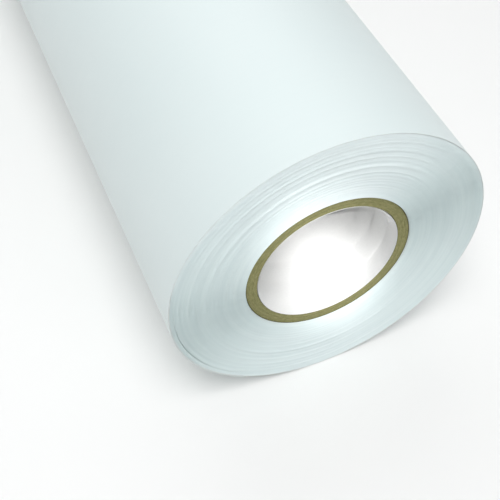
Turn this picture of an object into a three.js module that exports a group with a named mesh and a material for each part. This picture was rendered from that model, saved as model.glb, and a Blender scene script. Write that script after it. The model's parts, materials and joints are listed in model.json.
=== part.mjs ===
// A roll of white self-adhesive sign vinyl, wound face out on a paperboard core.
// The roll lies on its side: its axis runs along +Y at the height of its radius, +X is to the
// right of its near end (-Y), +Z is up, and the origin is on the floor under its middle.
// Sizes are in millimetres.
import * as THREE from 'three';

// The paperboard core: a 3 inch bore with a quarter inch wall, as long as the web is wide.
const BORE_RADIUS = 38.1;
const CORE_WALL = 6.35;
const CORE_LENGTH = 610;
const PAPER_PLY = 0.35;
const BOARD_PLIES = 6;
const GLUE_LINE = 0.02;

// The web: vinyl film with its adhesive coat, on a release liner.
const WEB_WIDTH = 610;
const ROLL_RADIUS = 85;
const FILM = 0.12;
const LINER = 0.15;
const FILM_TO_LINER = 0.02;
const STARTER_ALLOWANCE = 0.15;

// How many turns lie between one visible step in the end face and the next, from the core out.
const TURNS_IN_BAND = [19, 12, 12, 18, 18, 11, 14, 16];
const BAND_GAP = 0.04;

// The winding has slipped along the axis, so the near end is dished and the far end is domed.
const DISH_DEPTH = 2.1;
const CORE_RECESS = 2.9;

// Angles are in degrees from the top of the roll towards -X, the way that the web runs.
const FACETS = 72;
const TAIL_ROOT = 97.5;
const PEEL_ROOT = 127.5;
const TAIL_TIP = 147.5;
const LEVEL_AGAIN = 177.5;
const TAIL_STANDOFF = 0.4;
const HINGE_GAP = 0.35;

// The strip of tape along the core that starts the winding.
const STARTER_TAPE = 0.1;
const STARTER_FROM = 10;
const STARTER_TO = 45;

const CORE_RADIUS = BORE_RADIUS + CORE_WALL;
const FIRST_TURN_RADIUS = CORE_RADIUS + STARTER_ALLOWANCE;
const TURNS = TURNS_IN_BAND.reduce((sum, turns) => sum + turns, 0);
const PITCH = (ROLL_RADIUS - FIRST_TURN_RADIUS) / (TURNS + 2);
const WEB_MIDDLE = -CORE_RECESS / 2;
const FACET_ANGLE = 360 / FACETS;

const vinylWhite = { color: 0xe6f1f2, roughness: 0.34, metalness: 0 };
const linerWhite = { color: 0xdfe3dc, roughness: 0.6, metalness: 0 };
const boardBrown = { color: 0x8a865c, roughness: 0.95, metalness: 0 };
const liningPaper = { color: 0xd9d4c4, roughness: 0.9, metalness: 0 };
const tapeClear = { color: 0xe9ecdf, roughness: 0.25, metalness: 0 };

const roll = new THREE.Group();

function addPiece(name, geometry, finish) {
  const mesh = new THREE.Mesh(geometry, new THREE.MeshStandardMaterial(finish));
  mesh.name = name;
  mesh.position.set(0, WEB_MIDDLE, ROLL_RADIUS);
  roll.add(mesh);
}

// Distance from the axis to the faceted surface whose flats are at the radius given.
function onFacets(radius, degrees) {
  const fromFlat = degrees - FACET_ANGLE * Math.round(degrees / FACET_ANGLE);
  return radius / Math.cos(THREE.MathUtils.degToRad(fromFlat));
}

// How far the end face at this radius lies behind the plane of the outermost turn's edge.
function slipAt(radius) {
  const depth = (ROLL_RADIUS - radius) / (ROLL_RADIUS - CORE_RADIUS);
  return DISH_DEPTH * Math.max(0, depth);
}

// A tube round the roll's axis, slipped along it by one amount inside and another outside.
function tube(inner, outer, length, slipInside, slipOutside) {
  const corner = 1 / Math.cos(THREE.MathUtils.degToRad(FACET_ANGLE / 2));
  const profile = [
    new THREE.Vector2(inner * corner, slipInside - length / 2),
    new THREE.Vector2(outer * corner, slipOutside - length / 2),
    new THREE.Vector2(outer * corner, slipOutside + length / 2),
    new THREE.Vector2(inner * corner, slipInside + length / 2),
  ];
  profile.push(profile[0].clone());
  return new THREE.LatheGeometry(profile, FACETS, THREE.MathUtils.degToRad(FACET_ANGLE / 2));
}

// The angles of a strip's section: its two ends, and each corner of the facets between them.
function sectionAngles(from, to) {
  const angles = [from];
  const firstCorner = (Math.floor(from / FACET_ANGLE - 0.5 + 1e-9) + 1.5) * FACET_ANGLE;
  for (let corner = firstCorner; corner < to - 1e-6; corner += FACET_ANGLE) {
    angles.push(corner);
  }
  angles.push(to);
  return angles;
}

// A strip of web or tape bent round the axis. The radius of its outside follows radiusAt.
function strip(from, to, width, thickness, radiusAt) {
  const point = (degrees, radius) => {
    const distance = onFacets(radius, degrees);
    const turn = THREE.MathUtils.degToRad(degrees);
    return new THREE.Vector2(-distance * Math.sin(turn), distance * Math.cos(turn));
  };
  const angles = sectionAngles(from, to);
  const outside = angles.map((degrees) => point(degrees, radiusAt(degrees)));
  const inside = angles.map((degrees) => point(degrees, radiusAt(degrees) - thickness));
  const section = new THREE.Shape([...outside, ...inside.reverse()]);
  const geometry = new THREE.ExtrudeGeometry(section, { depth: width, bevelEnabled: false });
  return geometry.translate(0, 0, -width / 2).rotateX(Math.PI / 2);
}

// The outermost turn dips under the tail by one pitch and climbs level again before the floor.
function outerTurnRadius(degrees) {
  const climb = (degrees - TAIL_TIP) / (LEVEL_AGAIN - TAIL_TIP);
  return ROLL_RADIUS - PITCH * (1 - THREE.MathUtils.clamp(climb, 0, 1));
}

// The tail springs away from the turn under it, slowly at its root and most at its free edge.
function tailRadius(degrees) {
  const along = (degrees - TAIL_ROOT) / (TAIL_TIP - TAIL_ROOT);
  return ROLL_RADIUS + TAIL_STANDOFF * along ** 2;
}

// The core is wound from a white lining paper, board plies and an outer paper.
function addCore() {
  const addPly = (name, inner, outer, finish) => {
    addPiece(name, tube(inner, outer, CORE_LENGTH, CORE_RECESS, CORE_RECESS), finish);
  };
  const boardFrom = BORE_RADIUS + PAPER_PLY + GLUE_LINE;
  const boardTo = CORE_RADIUS - PAPER_PLY;
  const step = (boardTo - boardFrom) / BOARD_PLIES;
  addPly('core_inner_ply', BORE_RADIUS, BORE_RADIUS + PAPER_PLY, liningPaper);
  for (let ply = 0; ply < BOARD_PLIES; ply += 1) {
    const inner = boardFrom + ply * step;
    addPly(`core_board_ply_${ply + 1}`, inner, inner + step - GLUE_LINE, boardBrown);
  }
  addPly('core_outer_ply', CORE_RADIUS - PAPER_PLY, CORE_RADIUS, boardBrown);
}

function addStarterTape() {
  const radius = CORE_RADIUS + GLUE_LINE + STARTER_TAPE;
  const tape = strip(STARTER_FROM, STARTER_TO, CORE_LENGTH, STARTER_TAPE, () => radius);
  addPiece('starter_tape', tape.translate(0, CORE_RECESS, 0), tapeClear);
}

function addWoundTurns() {
  let inner = FIRST_TURN_RADIUS;
  TURNS_IN_BAND.forEach((turns, band) => {
    const outer = inner + turns * PITCH;
    const edge = outer - BAND_GAP;
    const wound = tube(inner, edge, WEB_WIDTH, slipAt(inner), slipAt(edge));
    addPiece(`vinyl_turns_${band + 1}`, wound, vinylWhite);
    inner = outer;
  });
}

function addOuterTurn() {
  const end = TAIL_ROOT + 360;
  const liner = (degrees) => outerTurnRadius(degrees) - FILM - FILM_TO_LINER;
  const film = strip(TAIL_ROOT, end, WEB_WIDTH, FILM, outerTurnRadius);
  addPiece('outer_turn_film', film, vinylWhite);
  addPiece('outer_turn_liner', strip(TAIL_ROOT, end, WEB_WIDTH, LINER, liner), linerWhite);
}

function addTail() {
  const gap = THREE.MathUtils.radToDeg(HINGE_GAP / ROLL_RADIUS);
  const liner = (degrees) => tailRadius(degrees) - FILM - FILM_TO_LINER;
  const film = strip(TAIL_ROOT + gap, PEEL_ROOT, WEB_WIDTH, FILM, tailRadius);
  const edge = strip(PEEL_ROOT + gap, TAIL_TIP, WEB_WIDTH, FILM, tailRadius);
  const backing = strip(TAIL_ROOT + gap, TAIL_TIP, WEB_WIDTH, LINER, liner);
  addPiece('tail_film', film, vinylWhite);
  addPiece('tail_liner', backing, linerWhite);
  addPiece('film_edge', edge, vinylWhite);
}

addCore();
addStarterTape();
addWoundTurns();
addOuterTurn();
addTail();

export default roll;
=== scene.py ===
"""A roll of white sign vinyl on a paperboard core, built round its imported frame.

The roll lies on its side with its axis along +Y. Angles round it are in degrees from the top towards -X,
the way that the web runs. Sizes are in metres.
"""

import json
import math

import bpy
import numpy as np
from mathutils import Matrix, Vector, noise


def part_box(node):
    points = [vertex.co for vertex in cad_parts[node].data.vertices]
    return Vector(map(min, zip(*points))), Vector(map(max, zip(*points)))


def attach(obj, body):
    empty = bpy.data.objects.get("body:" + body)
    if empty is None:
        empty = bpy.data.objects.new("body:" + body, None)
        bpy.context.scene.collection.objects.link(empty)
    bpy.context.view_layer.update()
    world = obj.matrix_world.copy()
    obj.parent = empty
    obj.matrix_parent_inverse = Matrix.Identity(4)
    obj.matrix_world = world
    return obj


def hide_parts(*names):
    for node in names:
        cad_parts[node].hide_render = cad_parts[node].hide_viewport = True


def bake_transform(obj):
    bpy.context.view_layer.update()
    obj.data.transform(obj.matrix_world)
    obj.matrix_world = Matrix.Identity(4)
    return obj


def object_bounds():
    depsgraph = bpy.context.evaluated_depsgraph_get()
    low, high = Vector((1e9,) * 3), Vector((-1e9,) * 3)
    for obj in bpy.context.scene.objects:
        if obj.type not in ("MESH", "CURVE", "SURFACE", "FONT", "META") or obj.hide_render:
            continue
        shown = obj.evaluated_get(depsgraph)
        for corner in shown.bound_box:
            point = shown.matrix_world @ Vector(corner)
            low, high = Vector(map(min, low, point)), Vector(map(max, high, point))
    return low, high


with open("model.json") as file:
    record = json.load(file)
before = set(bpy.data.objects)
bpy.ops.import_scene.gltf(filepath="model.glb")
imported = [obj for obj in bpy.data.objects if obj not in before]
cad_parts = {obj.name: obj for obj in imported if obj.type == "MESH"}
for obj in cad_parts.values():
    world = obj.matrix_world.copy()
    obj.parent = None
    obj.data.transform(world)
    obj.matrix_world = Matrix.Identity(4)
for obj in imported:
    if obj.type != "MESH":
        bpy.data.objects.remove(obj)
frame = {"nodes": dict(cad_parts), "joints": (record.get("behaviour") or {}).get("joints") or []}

cad_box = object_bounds()

MM = 0.001
FACET = 5.0                    # degrees between the corners of the frame's round surfaces
FILM = 0.12 * MM               # film with its adhesive coat
LINER = 0.15 * MM
FILM_TO_LINER = 0.02 * MM
TURNS_IN_BAND = (19, 12, 12, 18, 18, 11, 14, 16)
TURNS = sum(TURNS_IN_BAND)
DISH_DEPTH = 2.1 * MM          # how far the winding has slipped along the axis, from its rim to the core
BOARD_PLIES = 6
LEVEL_AGAIN = 177.5            # where the outermost turn has climbed back from its dip under the tail
SHEET_FROM = 80.0              # where the outermost turn starts, under its own other end

# ---------------------------------------------------------------- the frame, measured


def vertices_of(node):
    mesh = frame["nodes"][node].data
    points = np.empty(len(mesh.vertices) * 3)
    mesh.vertices.foreach_get("co", points)
    return points.reshape(-1, 3)


ROLL_RADIUS = (cad_box[1].x - cad_box[0].x) / 2
AXIS_HEIGHT = ROLL_RADIUS


def radii_of(node):
    """The smallest and largest radius of a node's flats about the roll's axis."""
    points = vertices_of(node)
    distance = np.hypot(points[:, 0], points[:, 2] - AXIS_HEIGHT)
    flat = math.cos(math.radians(FACET / 2))
    return distance.min() * flat, distance.max() * flat


def angle_of(point):
    """The angle of a point round the roll's axis."""
    return math.degrees(math.atan2(-point[0], point[2] - AXIS_HEIGHT))


JOINTS = {joint["name"]: joint for joint in frame["joints"]}
TAIL_ROOT = angle_of(JOINTS["tail_lift"]["pos_m"])
PEEL_ROOT = angle_of(JOINTS["film_peel"]["pos_m"])
TAIL_TIP = max(angle_of(point) for point in vertices_of("film_edge"))
TIP_RADIUS = radii_of("film_edge")[1]
WEB_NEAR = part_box("outer_turn_film")[0].y
WEB_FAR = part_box("outer_turn_film")[1].y
CORE_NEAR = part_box("core_inner_ply")[0].y
CORE_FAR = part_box("core_inner_ply")[1].y
CORE_RADIUS = radii_of("core_outer_ply")[1]
FIRST_TURN_RADIUS = radii_of("vinyl_turns_1")[0]
LAST_TURN_RADIUS = radii_of(f"vinyl_turns_{len(TURNS_IN_BAND)}")[1]
PITCH = (ROLL_RADIUS - FIRST_TURN_RADIUS) / (TURNS + 2)

# ---------------------------------------------------------------- how the web lies


def ramp(value, low, high):
    """0 below low, 1 above high, and straight between them."""
    return np.clip((value - low) / (high - low), 0, 1)


def bell(degrees, low, high):
    """0 outside the two angles, rising smoothly to 1 midway between them."""
    return np.sin(math.pi * ramp(degrees, low, high)) ** 1.2


def slip_at(radius):
    """How far the end face at this radius lies behind the outermost turn's edge."""
    return DISH_DEPTH * np.clip((ROLL_RADIUS - radius) / (ROLL_RADIUS - CORE_RADIUS), 0, None)


def outer_turn_radius(degrees):
    """The outermost turn dips under the tail by one pitch."""
    return ROLL_RADIUS - PITCH * (1 - ramp(degrees, TAIL_TIP, LEVEL_AGAIN))


def tail_radius(degrees):
    """The tail springs off the roll, most at its free edge."""
    along = np.clip((degrees - TAIL_ROOT) / (TAIL_TIP - TAIL_ROOT), 0, None)
    return ROLL_RADIUS + (TIP_RADIUS - ROLL_RADIUS) * along ** 2


# ---------------------------------------------------------------- mesh making


def on_roll(radius, degrees, along):
    """Points at these radii, angles and places along the axis, as an array of x, y, z."""
    turn = np.radians(degrees)
    x = -radius * np.sin(turn)
    z = AXIS_HEIGHT + radius * np.cos(turn)
    return np.stack(np.broadcast_arrays(x, along, z), axis=-1)


def angles_round(columns):
    """Evenly spaced angles, once round the roll."""
    return np.arange(columns) * 360.0 / columns


def grid_faces(rows, columns, close_columns=True):
    """Quads between neighbours in a grid of vertices. The last row joins the first."""
    row = np.arange(rows)
    column = np.arange(columns if close_columns else columns - 1)
    r, c = np.meshgrid(row, column, indexing="ij")
    r1, c1 = (r + 1) % rows, (c + 1) % columns
    quads = np.stack([r * columns + c, r * columns + c1, r1 * columns + c1, r1 * columns + c], axis=-1)
    return quads.reshape(-1, 4).tolist()


def signed_volume(mesh):
    """Above 0 where the faces point out."""
    mesh.calc_loop_triangles()
    corners = np.empty(len(mesh.loop_triangles) * 3, dtype=np.int32)
    mesh.loop_triangles.foreach_get("vertices", corners)
    points = np.empty(len(mesh.vertices) * 3)
    mesh.vertices.foreach_get("co", points)
    a, b, c = np.moveaxis(points.reshape(-1, 3)[corners.reshape(-1, 3)], 1, 0)
    return float(np.einsum("ij,ij->i", a, np.cross(b, c)).sum() / 6)


def mesh_object(name, points, faces, look):
    """A smooth object from vertices and faces, turned so that its faces point out."""
    mesh = bpy.data.meshes.new(name)
    mesh.from_pydata(points.reshape(-1, 3).tolist(), [], faces)
    mesh.update()
    mesh.materials.append(look)
    mesh.shade_smooth()
    if signed_volume(mesh) < 0:
        mesh.flip_normals()
    piece = bpy.data.objects.new(name, mesh)
    bpy.context.scene.collection.objects.link(piece)
    return piece


def closed_tube(name, points, look, crease):
    """A tube from rings of points. Edges that turn by more than crease degrees are sharp."""
    rings, columns = points.shape[:2]
    piece = mesh_object(name, points, grid_faces(rings, columns), look)
    piece.data.set_sharp_from_angle(angle=math.radians(crease))
    return piece


def field(columns, steps, scale_round, scale_step, seed):
    """Smooth random heights, -1 to 1: a row for each step, which closes on itself round the roll."""
    turns = np.linspace(0, 2 * math.pi, columns, endpoint=False)
    heights = np.empty((len(steps), columns))
    for i, step in enumerate(steps):
        for j, turn in enumerate(turns):
            around = (scale_round * math.cos(turn), scale_round * math.sin(turn))
            heights[i, j] = noise.noise(Vector((*around, step * scale_step + seed)))
    return heights


# ---------------------------------------------------------------- looks


class Look:
    """A Principled material, with short ways to add the nodes that feed it."""

    def __init__(self, name, **fixed):
        self.material = bpy.data.materials.new(name)
        self.material.use_nodes = True
        self.nodes = self.material.node_tree.nodes
        self.links = self.material.node_tree.links
        self.shader = self.nodes["Principled BSDF"]
        for socket, value in fixed.items():
            self.shader.inputs[socket.replace("_", " ")].default_value = value

    def add(self, kind, inputs=None, **settings):
        made = self.nodes.new("ShaderNode" + kind)
        for key, value in settings.items():
            setattr(made, key, value)
        for key, value in (inputs or {}).items():
            if isinstance(value, bpy.types.NodeSocket):
                self.links.new(value, made.inputs[key])
            else:
                made.inputs[key].default_value = value
        return made

    def place(self):
        return self.add("TexCoord").outputs["Object"]

    def noise(self, scale, detail, rough=0.5, place=None):
        inputs = {"Vector": place or self.place(), "Scale": scale, "Detail": detail, "Roughness": rough}
        return self.add("TexNoise", inputs).outputs["Fac"]

    def math(self, operation, a, b, c=0.0):
        return self.add("Math", {0: a, 1: b, 2: c}, operation=operation).outputs[0]

    def fit(self, value, low, high, from_low=0.3, from_high=0.7):
        """The value, spread from one range to another. Noise lies mostly from 0.3 to 0.7."""
        sizes = {"From Min": from_low, "From Max": from_high, "To Min": low, "To Max": high}
        return self.add("MapRange", {"Value": value, **sizes}).outputs["Result"]

    def mix(self, share, a, b):
        """A colour between a and b. Each is a socket, or red, green and blue."""
        a, b = (c if isinstance(c, bpy.types.NodeSocket) else (*c, 1) for c in (a, b))
        return self.add("Mix", {0: share, 6: a, 7: b}, data_type="RGBA").outputs[2]

    def bump(self, height, distance, strength, before=None):
        inputs = {"Height": height, "Distance": distance, "Strength": strength}
        if before:
            inputs["Normal"] = before
        return self.add("Bump", inputs).outputs["Normal"]

    def feed(self, socket, value):
        self.links.new(value, self.shader.inputs[socket])

    def wound(self, turning, along, outward):
        """Coordinates that follow the winding without a seam, scaled round, along and out from the axis."""
        x, y, z = self.add("SeparateXYZ", {0: self.place()}).outputs
        flat = self.add("CombineXYZ", {0: x, 2: self.math("SUBTRACT", z, AXIS_HEIGHT)}).outputs[0]
        radius = self.add("VectorMath", {0: flat}, operation="LENGTH").outputs["Value"]
        way = self.add("VectorMath", {0: flat}, operation="NORMALIZE").outputs["Vector"]
        way = self.add("VectorMath", {0: way, "Scale": turning}, operation="SCALE").outputs["Vector"]
        depth = self.math("MULTIPLY_ADD", y, along, self.math("MULTIPLY", radius, outward))
        shift = self.add("CombineXYZ", {1: depth}).outputs[0]
        return self.add("VectorMath", {0: way, 1: shift}, operation="ADD").outputs["Vector"]


def film_look():
    """White calendered PVC: a soft gloss, faint lines along the web and a very slight cool mottle."""
    look = Look("vinyl_film", Specular_IOR_Level=0.4, Coat_Weight=0.1, Coat_Roughness=0.25)
    mottle = look.noise(9.0, 3.0)
    colour = look.mix(look.fit(mottle, 0.0, 1.0), (0.764, 0.850, 0.840), (0.784, 0.860, 0.848))
    lines = look.noise(1.0, 3.0, 0.55, look.wound(1.0, 420.0, 0.0))
    colour = look.mix(look.fit(lines, 0.0, 0.06), colour, (0.70, 0.785, 0.80))
    look.feed("Base Color", colour)
    cloud = look.math("MULTIPLY", look.noise(24.0, 4.0), 0.6)
    look.feed("Roughness", look.fit(look.math("MULTIPLY_ADD", lines, 0.4, cloud), 0.38, 0.50))
    grain = look.noise(1900.0, 2.0)
    normal = look.bump(grain, 0.004 * MM, 0.6)
    look.feed("Normal", look.bump(lines, 0.010 * MM, 0.5, normal))
    return look.material


def edges_look():
    """The slit edges of film and liner: satin, with faint rings that follow the turns."""
    look = Look("web_edges", Specular_IOR_Level=0.35)
    rings = look.noise(1.0, 4.0, 0.6, look.wound(0.7, 0.0, 620.0))
    colour = look.mix(look.fit(rings, 0.0, 1.0), (0.750, 0.830, 0.828), (0.822, 0.893, 0.886))
    smudge = look.noise(38.0, 4.0)
    colour = look.mix(look.fit(smudge, 0.0, 0.15), colour, (0.76, 0.80, 0.82))
    look.feed("Base Color", colour)
    look.feed("Roughness", look.fit(rings, 0.45, 0.60))
    fibres = look.noise(2600.0, 3.0)
    look.feed("Normal", look.bump(fibres, 0.008 * MM, 0.4))
    return look.material


def liner_look():
    """White kraft liner with a silicone coat: smoother than paper, slightly warm, with soft formation."""
    look = Look("release_liner", Specular_IOR_Level=0.4, Coat_Weight=0.2, Coat_Roughness=0.3)
    formation = look.noise(260.0, 5.0, 0.6)
    look.feed("Base Color", look.mix(look.fit(formation, 0.0, 1.0), (0.76, 0.77, 0.755), (0.80, 0.81, 0.80)))
    look.feed("Roughness", look.fit(formation, 0.42, 0.55))
    look.feed("Normal", look.bump(look.noise(1400.0, 4.0), 0.01 * MM, 0.5))
    return look.material


OUTER_PLY_TONE_AND_SHADE = 0.42          # the outer paper is darker than the board plies; its dark colour also paints the shade that falls in the step between the core and the winding
PLY_TONE_CHANGE = 0.06         # how far the board plies differ from each other
PLY_TONE_STEP = 2.4            # radians of a sine wave from one ply to the next


def board_look(ply):
    """Recycled core board: olive brown, matt, with fibres and dark specks, in this ply's own colour, a
    little lighter or darker than its neighbours; the outer ply is darker, partly as painted shade in the
    step next to the winding.
    """
    # The outer ply is made dark partly to paint the shade that falls in the step between the core and the
    # winding.
    if ply == BOARD_PLIES:
        tone_and_shade = OUTER_PLY_TONE_AND_SHADE
    else:
        tone_and_shade = 1.0 + PLY_TONE_CHANGE * math.sin(ply * PLY_TONE_STEP)

    def toned_and_shaded(*colour):
        return [tone_and_shade * part for part in colour]

    look = Look(f"core_board_{ply}", Specular_IOR_Level=0.2)
    fibres = look.noise(1.0, 6.0, 0.72, look.wound(14.0, 900.0, 1500.0))
    dark, pale = toned_and_shaded(0.176, 0.169, 0.068), toned_and_shaded(0.320, 0.308, 0.145)
    colour = look.mix(look.fit(fibres, 0.0, 1.0, 0.34, 0.66), dark, pale)
    specks = look.noise(1500.0, 2.0)
    colour = look.mix(look.fit(specks, 0.0, 0.7, 0.64, 0.74), colour, (0.10, 0.095, 0.045))
    stretched = look.add("Mapping", {"Vector": look.place(), "Scale": (1.0, 1.0, 1.3)}).outputs["Vector"]
    flecks = look.noise(1150.0, 2.0, 0.5, stretched)
    colour = look.mix(look.fit(flecks, 0.0, 0.6, 0.66, 0.76), colour, (0.50, 0.48, 0.32))
    stain = look.noise(120.0, 3.0)
    look.feed("Base Color", look.mix(look.fit(stain, 0.0, 0.4), colour, toned_and_shaded(0.208, 0.201, 0.086)))
    look.feed("Roughness", look.fit(fibres, 0.82, 0.97))
    look.feed("Normal", look.bump(fibres, 0.06 * MM, 0.9))
    return look.material


def lining_look():
    """The white lining paper of the bore, matt and a little fibrous."""
    look = Look("lining_paper", Specular_IOR_Level=0.25)
    fibres = look.noise(1.0, 6.0, 0.65, look.wound(26.0, 1500.0, 0.0))
    cloud = look.noise(70.0, 4.0)
    colour = look.mix(look.fit(fibres, 0.0, 1.0), (0.86, 0.86, 0.85), (0.91, 0.91, 0.90))
    look.feed("Base Color", look.mix(look.fit(cloud, 0.0, 0.3), colour, (0.86, 0.855, 0.83)))
    look.feed("Roughness", look.fit(fibres, 0.72, 0.88))
    look.feed("Normal", look.bump(fibres, 0.02 * MM, 0.7))
    return look.material


def tape_look():
    """Thin double-sided tape, hazy and slightly yellow."""
    look = Look("starter_tape", Specular_IOR_Level=0.5)
    haze = look.noise(300.0, 3.0)
    look.feed("Base Color", look.mix(look.fit(haze, 0.0, 1.0), (0.72, 0.70, 0.58), (0.80, 0.79, 0.70)))
    look.feed("Roughness", look.fit(haze, 0.3, 0.45))
    return look.material


def floor_look():
    look = Look("floor", Specular_IOR_Level=0.1, Roughness=0.9)
    haze = look.noise(3.0, 4.0)
    look.feed("Base Color", look.mix(look.fit(haze, 0.0, 1.0), (0.94, 0.93, 0.915), (0.95, 0.94, 0.925)))
    return look.material


# ---------------------------------------------------------------- the end faces of the winding

END_COLUMNS = 240              # vertices round the roll
END_CREASE = 30                # degrees

# The line between two turns is a valley. It is deeper at the sides of the end face and at its bottom.
VALLEY = 0.09 * MM
VALLEY_AT_SIDES = (0.27 * MM, 0.36 * MM)         # how much deeper, towards -X and towards +X
VALLEY_BELOW = 0.19 * MM
SIDES_TURNED = 6.0             # degrees by which the two deep sides are turned round the roll

# Random waves in an end face: height, how often it changes round the roll and from turn to turn, and seed.
WAVES = (
    (0.10 * MM, 0.45, 0.13, 3.7),
    (0.06 * MM, 0.5, 0.31, 53.7),
    (0.02 * MM, 0.6, 3.17, 93.7),
)
FAR_END_SEED = 20.0            # added to the seeds of the near end
CALM_TO, ROUGH_FROM = 8, 22    # the first turns on the core lie level, and later ones less and less so
CALM = 0.15                    # what is left of the waves in the first turns

# The rings of turns that stand out: radius as a share of the roll's, height and half width in mm.
RINGS = (
    (0.575, 0.12, 0.45), (0.590, 0.16, 0.45), (0.610, 0.22, 0.45), (0.634, 0.22, 0.45), (0.658, 0.20, 0.45),
    (0.676, 0.15, 0.45), (0.700, 0.22, 0.5), (0.727, 0.24, 0.6), (0.773, 0.62, 1.0), (0.806, 0.10, 0.6),
    (0.840, 0.30, 0.7), (0.880, 0.36, 0.8), (0.906, 0.10, 0.5), (0.938, 0.20, 0.6),
)
RING_HEIGHT = (0.85, 0.35)     # a ring's mean height, and how far it changes round the roll
RING_WAVES = (0.8, 7.3, 33.7)  # how often it changes round the roll and from ring to ring, and seed
QUIET_FROM, QUIET_TO = 175.0, 285.0              # the rings are lower between these angles
QUIET = 0.7                    # and by at most this share

# The last turns stand off from the pack between two angles, at the lower -X side.
LOOSE_TURNS = 6
LOOSE_FROM, LOOSE_TO = 82.0, 166.0
LOOSE_GAP = 0.65 * MM          # how far the pack gives way towards the axis
LOOSE_DEPTH = 1.8 * MM         # how deep the gap is that they leave in the end face
LOOSE_SIDE = 0.01 * MM         # half the width of that gap's floor
SQUEEZED_FROM = 92             # the turn from which it does

# The last turns fill the room that the frame's rings leave under the outermost turn.
RIM_TURNS = 6
SNUG = 0.02 * MM               # between the wound turns and the outermost one
ROOM_FADE = 10.0               # degrees before the outermost turn's end where the room closes
RIM_FROM, RIM_TO = -56.0, -6.0                   # a slit stays open under it between these angles
RIM_GAP = 0.36 * MM


def end_relief(degrees, shift):
    """How far back each turn's edge stands from its nominal place, a row for each turn."""
    turns = np.arange(TURNS)
    relief = np.zeros((TURNS, len(degrees)))
    for height, scale_round, scale_step, seed in WAVES:
        relief += field(len(degrees), turns, scale_round, scale_step, seed + shift) * height
    mean, change = RING_HEIGHT
    scale_round, scale_step, seed = RING_WAVES
    strengths = field(len(degrees), range(len(RINGS)), scale_round, scale_step, seed + shift)
    strengths = mean + change * strengths
    strengths *= 1 - QUIET * bell(degrees, QUIET_FROM, QUIET_TO)
    radius = FIRST_TURN_RADIUS + (turns + 0.5) * PITCH
    for (share, height, half_width), strength in zip(RINGS, strengths):
        step = (radius - share * ROLL_RADIUS) / (half_width * MM)
        relief -= np.exp(-step ** 2)[:, None] * strength * height * MM
    return relief * np.maximum(ramp(turns, CALM_TO, ROUGH_FROM), CALM)[:, None]


def valley_depths(degrees):
    """How deep the lines between the turns are, round the roll."""
    side = np.sin(np.radians(degrees + SIDES_TURNED))
    below = 0.5 - 0.5 * np.cos(np.radians(degrees))
    return VALLEY + np.where(side > 0, *VALLEY_AT_SIDES) * side ** 2 + VALLEY_BELOW * below ** 2


def room_outside(degrees):
    """How much further out than in the frame the last wound turn can lie, under the outermost turn."""
    unrolled = (degrees - SHEET_FROM) % 360 + SHEET_FROM
    inside = outer_turn_radius(unrolled) - FILM - FILM_TO_LINER - LINER - SNUG
    end = SHEET_FROM + 360
    closing = ramp(unrolled, end - ROOM_FADE, end)
    return np.clip(inside - LAST_TURN_RADIUS, 0, None) * (1 - closing)


def band_rows(first, count, inner, outer):
    """Rows across one band: radius, turn, is it a valley, is it a loose turn's, is it the gap's floor."""
    rows = []
    step = (outer - inner) / count
    for turn in range(first, first + count):
        radius = inner + step * (turn - first)
        loose = turn >= TURNS - LOOSE_TURNS
        if turn == TURNS - LOOSE_TURNS:
            rows.append((radius - 2 * LOOSE_SIDE, turn, True, False, False))
            rows.append((radius - LOOSE_SIDE, turn, True, False, True))
            rows.append((radius + LOOSE_SIDE, turn, True, True, True))
            rows.append((radius + 2 * LOOSE_SIDE, turn, True, True, False))
        else:
            rows.append((radius, turn, True, loose, False))
        rows.append((radius + step / 2, turn, False, loose, False))
    rows.append((outer, first + count, True, first + count == TURNS, False))
    return rows


def add_turns():
    """One ring for each band of turns, with every turn's edge as a ridge in both end faces."""
    look = edges_look()
    degrees = angles_round(END_COLUMNS)
    reliefs = [end_relief(degrees, shift) for shift in (0.0, FAR_END_SEED)]
    depths = valley_depths(degrees)
    apart = bell(degrees, LOOSE_FROM, LOOSE_TO)
    slit = bell((degrees + 180) % 360 - 180, RIM_FROM, RIM_TO) * RIM_GAP
    room = room_outside(degrees)
    first = 0
    for band, count in enumerate(TURNS_IN_BAND, 1):
        near, far = [], []
        for radius, turn, valley, loose, floor in band_rows(first, count, *radii_of(f"vinyl_turns_{band}")):
            neighbours = [max(turn - valley, 0), min(turn, TURNS - 1)]
            waves = [relief[neighbours].mean(axis=0) for relief in reliefs]
            around = radius + (room - slit) * ramp(turn, TURNS - RIM_TURNS, TURNS)
            if not loose:
                around = around - apart * LOOSE_GAP * ramp(turn, SQUEEZED_FROM, TURNS - LOOSE_TURNS)
            slip = slip_at(radius)
            groove = depths * valley
            gap = apart * LOOSE_DEPTH * floor
            near.append(on_roll(around, degrees, WEB_NEAR + slip + groove + gap + waves[0]))
            far.append(on_roll(around, degrees, WEB_FAR + slip - groove + waves[1]))
        ring = closed_tube(f"wound_turns_{band}", np.array(near + far[::-1]), look, END_CREASE)
        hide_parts(f"vinyl_turns_{band}")
        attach(ring, "wound_roll")
        first += count


# ---------------------------------------------------------------- the core

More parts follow.
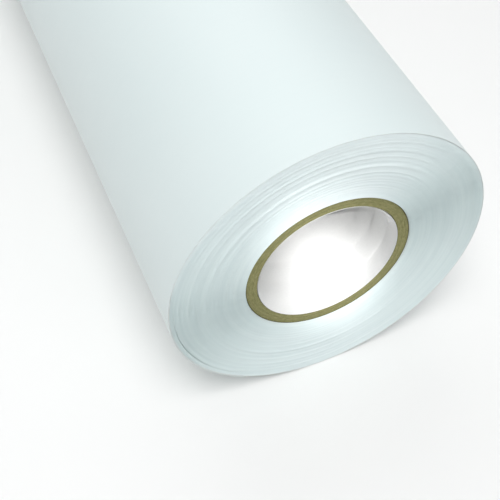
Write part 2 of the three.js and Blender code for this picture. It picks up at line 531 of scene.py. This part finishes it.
CORE_COLUMNS = 180             # vertices round the core
CORE_CREASE = 50               # degrees
PLY_ACROSS = (0.0, 0.14, 0.38, 0.62, 0.86, 1.0)  # rows across the cut end of a ply
PLY_WORN = (1.0, 0.15, 0.0, 0.0, 0.15, 1.0)      # how far the corners are rounded, as a share
PLY_ROUND = 0.09 * MM
CUT_ROUGH = 0.07 * MM
CUT_WAVES = (26.0, 1.7)        # how often the cut changes round the core and outwards, for each mm
CUT_SEEDS = (0.0, 7.0)         # of the near end and the far end
PLY_SEED_STEP = 5.3
SEAM_LEAD = 104 * MM           # how far the lining's butt seam runs along the bore in one turn
SEAM_WIDTH = 0.9 * MM
SEAM_ACROSS = (0.0, 0.3, 0.7, 1.0)               # the seam's two brinks, with its floor between them
SEAM_DEPTH = 0.12 * MM
LINING_COLUMN = 3.0            # degrees between the vertices round the lining
LINING_TWIST = 7.5             # degrees that its helix turns from one row to the next
LINING_HIDDEN = 6              # its outside has one row for each of this many inside


def ply_ring(name, look, inner, outer, seed):
    """A ply of the core: a tube with rough cut ends whose corners are a little worn."""
    degrees = angles_round(CORE_COLUMNS)
    radii = inner + (outer - inner) * np.array(PLY_ACROSS)
    worn = np.array(PLY_WORN) * PLY_ROUND
    rough = [np.abs(field(CORE_COLUMNS, radii / MM, *CUT_WAVES, seed + shift)) for shift in CUT_SEEDS]
    near = [on_roll(r, degrees, CORE_NEAR + w + CUT_ROUGH * h) for r, w, h in zip(radii, worn, rough[0])]
    far = [on_roll(r, degrees, CORE_FAR - w - CUT_ROUGH * h) for r, w, h in zip(radii, worn, rough[1])]
    return closed_tube(name, np.array(near + far[::-1]), look, CORE_CREASE)


def lining_tube(name, look, inner, outer):
    """The lining paper: a tube whose inside has one butt seam, which runs along it as a helix.

    The board hides its outside, which has fewer rows and starts a little way in from the near end.
    """
    seam = math.degrees(SEAM_WIDTH / inner) * np.array(SEAM_ACROSS)
    base = np.concatenate((seam, np.arange(LINING_COLUMN, 360.0, LINING_COLUMN)))
    depth = np.zeros(len(base))
    depth[1:3] = SEAM_DEPTH
    length = CORE_FAR - CORE_NEAR
    twist = 360 * length / SEAM_LEAD
    shares = np.linspace(0, 1, int(twist / LINING_TWIST) + 1)

    def ring(radii, share):
        return on_roll(radii, base + twist * share, CORE_NEAR + length * share)

    inside = [ring(inner + depth, share) for share in shares]
    outside = [ring(np.full(len(base), outer), share) for share in shares[::-LINING_HIDDEN]]
    return closed_tube(name, np.array(inside + outside), look, CORE_CREASE)


def add_core():
    lining = lining_tube("core_lining", lining_look(), *radii_of("core_inner_ply"))
    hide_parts("core_inner_ply")
    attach(lining, "wound_roll")
    plies = [f"core_board_ply_{n}" for n in range(1, BOARD_PLIES + 1)] + ["core_outer_ply"]
    for number, node in enumerate(plies):
        name = node.replace("core_", "core_wall_")
        ply = ply_ring(name, board_look(number), *radii_of(node), number * PLY_SEED_STEP)
        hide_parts(node)
        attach(ply, "wound_roll")


def dress_starter_tape():
    tape = frame["nodes"]["starter_tape"]
    tape.data.materials.clear()
    tape.data.materials.append(tape_look())


# ---------------------------------------------------------------- the outermost turn and the tail

SHEET_ROWS = 48                # steps across the web
SHEET_STEP = 1.5               # degrees
GAUGE_WAVE = 0.05 * MM         # the faint hard and soft bands round a wound web
GAUGE_WAVES = (9.0, 0.35)      # how often they change, for each metre across the web and round the roll
OVER_FROM = 90.0               # where the tail's sheets take over from the outermost turn's end
PEEL_SEAM = 118.0              # where the film's edge piece starts
TAIL_BEND = (-2.5, 8.5)        # degrees either side of each hinge at which points on the roll are worked out; nothing uses them to bend the sheets
PEEL_BEND = (-2.5, 5.5)
BROAD_SIDE = 0.7               # faces whose normal is less radial than this are edges of the web


def gauge(along, degrees):
    """How far the web stands out where it is a little thicker or looser."""
    turn = math.radians(degrees)
    across, around = GAUGE_WAVES
    place = Vector((along * across, math.cos(turn) * around, math.sin(turn) * around))
    return noise.noise(place) * GAUGE_WAVE


def radial(place):
    """The unit vector straight out from the roll's axis at this place."""
    return Vector((place.x, 0, place.z - AXIS_HEIGHT)).normalized()


def round_normals(mesh):
    """Shades the two broad sides as a smooth curve up to their very edges, so that strips join unseen."""
    normals = np.zeros((len(mesh.loops), 3))
    for polygon in mesh.polygons:
        facing = polygon.normal.dot(radial(polygon.center))
        if abs(facing) < BROAD_SIDE:
            continue
        for loop in polygon.loop_indices:
            outward = radial(mesh.vertices[mesh.loops[loop].vertex_index].co)
            normals[loop] = outward if facing > 0 else -outward
    mesh.normals_split_custom_set(normals.tolist())


def sheet_strip(name, look, start, end, radius_at, depth, thickness):
    """A strip of web bent round the axis. Its outside is depth below radius_at."""
    steps = max(2, round((end - start) / SHEET_STEP))
    degrees = np.linspace(start, end, steps + 1)
    along = WEB_NEAR + (WEB_FAR - WEB_NEAR) * np.linspace(0, 1, SHEET_ROWS + 1)
    rows = [(y, radius_at(degrees) - depth + np.array([gauge(y, d) for d in degrees])) for y in along]
    outside = [on_roll(radius, degrees, y) for y, radius in rows]
    inside = [on_roll(radius - thickness, degrees, y) for y, radius in rows]
    points = np.array(outside + inside[::-1])
    rings, columns = points.shape[:2]
    faces = grid_faces(rings, columns, close_columns=False)
    for row in range(SHEET_ROWS):
        corners = [ring * columns for ring in (row, row + 1, rings - 2 - row, rings - 1 - row)]
        faces.append(corners)
        faces.append([corner + columns - 1 for corner in reversed(corners)])
    piece = mesh_object(name, points, faces, look)
    round_normals(piece.data)
    return piece


def add_web():
    film, liner = film_look(), liner_look()
    under = FILM + FILM_TO_LINER
    outer = (
        ("outer_film", film, "vinyl_film", "outer_turn_film", 0.0, FILM),
        ("outer_liner", liner, "release_liner", "outer_turn_liner", under, LINER),
    )
    for name, look, slot, node, depth, thickness in outer:
        piece = sheet_strip(name, look, SHEET_FROM, OVER_FROM + 360, outer_turn_radius, depth, thickness)
        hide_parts(node)
        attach(piece, "wound_roll")
    tail = (
        ("tail_film_sheet", film, "vinyl_film", "tail_film", PEEL_SEAM, 0.0, FILM),
        ("tail_liner_sheet", liner, "release_liner", "tail_liner", TAIL_TIP, under, LINER),
    )
    bend = [on_roll(ROLL_RADIUS, TAIL_ROOT + turn, 0.0) for turn in TAIL_BEND]
    for name, look, slot, node, end, depth, thickness in tail:
        piece = sheet_strip(name, look, OVER_FROM, end, tail_radius, depth, thickness)
        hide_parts(node)
        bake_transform(piece)
    edge = sheet_strip("film_edge_sheet", film, PEEL_SEAM, TAIL_TIP, tail_radius, 0.0, FILM)
    peel = [on_roll(tail_radius(PEEL_ROOT + turn), PEEL_ROOT + turn, 0.0) for turn in PEEL_BEND]
    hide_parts("film_edge")
    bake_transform(edge)


# ---------------------------------------------------------------- the studio

FLOOR_SIDE = 12.0
FLOOR_DROP = 0.2 * MM          # the floor lies just clear of the roll

# Each light's direction from the near end of the roll, its distance, size in metres and power in watts.
LIGHTS = (
    ("key", (-0.14, -0.33, 0.93), 2.3, (1.2, 1.2), 33),
    ("front", (0.4, -1.7, 0.75), 2.3, (1.6, 1.2), 5),
    ("back", (0.1, 0.7, 0.9), 2.3, (2.0, 1.6), 8),
)
LIT_PLACE = Vector((0, -0.25, AXIS_HEIGHT))

# A narrow lamp in front of the roll, which shines into its bore.
SNOOT_POWER = 300
SNOOT_CONE = 1.4               # degrees
SNOOT_BLEND = 0.6
SNOOT_SIZE = 0.02
SNOOT_DISTANCE = 2.3

WORLD_COLOUR = (0.94, 0.978, 1.015, 1)           # a slightly cool light from all round
WORLD_STRENGTH = 0.39

LENS = 68.8
CAMERA_FROM_RIM = Vector((-1.7717, -2.9438, 4.3347))     # in roll radii, from the middle of the near rim
CAMERA_FORWARD = Vector((0.2488, 0.5809, -0.7750))
CAMERA_UP = Vector((0.3051, 0.7125, 0.6319))


def add_floor():
    half = FLOOR_SIDE / 2
    corners = [(-half, -half, 0), (half, -half, 0), (half, half, 0), (-half, half, 0)]
    mesh = bpy.data.meshes.new("floor")
    mesh.from_pydata(corners, [], [(0, 1, 2, 3)])
    mesh.materials.append(floor_look())
    floor = bpy.data.objects.new("floor", mesh)
    floor.location.z = -FLOOR_DROP
    bpy.context.scene.collection.objects.link(floor)


def place_light(data, place, target):
    light = bpy.data.objects.new(data.name, data)
    light.location = place
    light.rotation_mode = "QUATERNION"
    light.rotation_quaternion = (target - place).to_track_quat("-Z", "Y")
    bpy.context.scene.collection.objects.link(light)


def add_lights():
    for name, way, distance, size, power in LIGHTS:
        box = bpy.data.lights.new(name, "AREA")
        box.shape = "RECTANGLE"
        box.size, box.size_y = size
        box.energy = power
        place_light(box, LIT_PLACE + Vector(way).normalized() * distance, LIT_PLACE)
    snoot = bpy.data.lights.new("snoot", "SPOT")
    snoot.energy = SNOOT_POWER
    snoot.spot_size = math.radians(SNOOT_CONE)
    snoot.spot_blend = SNOOT_BLEND
    snoot.shadow_soft_size = SNOOT_SIZE
    opening = Vector((0, CORE_NEAR, AXIS_HEIGHT))
    place_light(snoot, opening - CAMERA_FORWARD.normalized() * SNOOT_DISTANCE, opening)


def add_world():
    world = bpy.data.worlds.new("studio")
    world.use_nodes = True
    background = world.node_tree.nodes["Background"]
    background.inputs["Color"].default_value = WORLD_COLOUR
    background.inputs["Strength"].default_value = WORLD_STRENGTH
    bpy.context.scene.world = world


def add_camera():
    data = bpy.data.cameras.new("camera")
    data.lens = LENS
    data.sensor_width = 36.0
    data.clip_start, data.clip_end = 0.01, 50
    camera = bpy.data.objects.new("camera", data)
    right = CAMERA_FORWARD.cross(CAMERA_UP).normalized()
    back = -CAMERA_FORWARD.normalized()
    turn = Matrix((right, back.cross(right), back)).transposed().to_4x4()
    place = Vector((0, WEB_NEAR, AXIS_HEIGHT)) + CAMERA_FROM_RIM * ROLL_RADIUS
    camera.matrix_world = Matrix.Translation(place) @ turn
    bpy.context.scene.collection.objects.link(camera)
    bpy.context.scene.camera = camera
    bpy.context.scene.view_settings.view_transform = "Standard"


add_camera()
add_turns()
add_core()
add_web()
dress_starter_tape()
add_floor()
add_lights()
add_world()
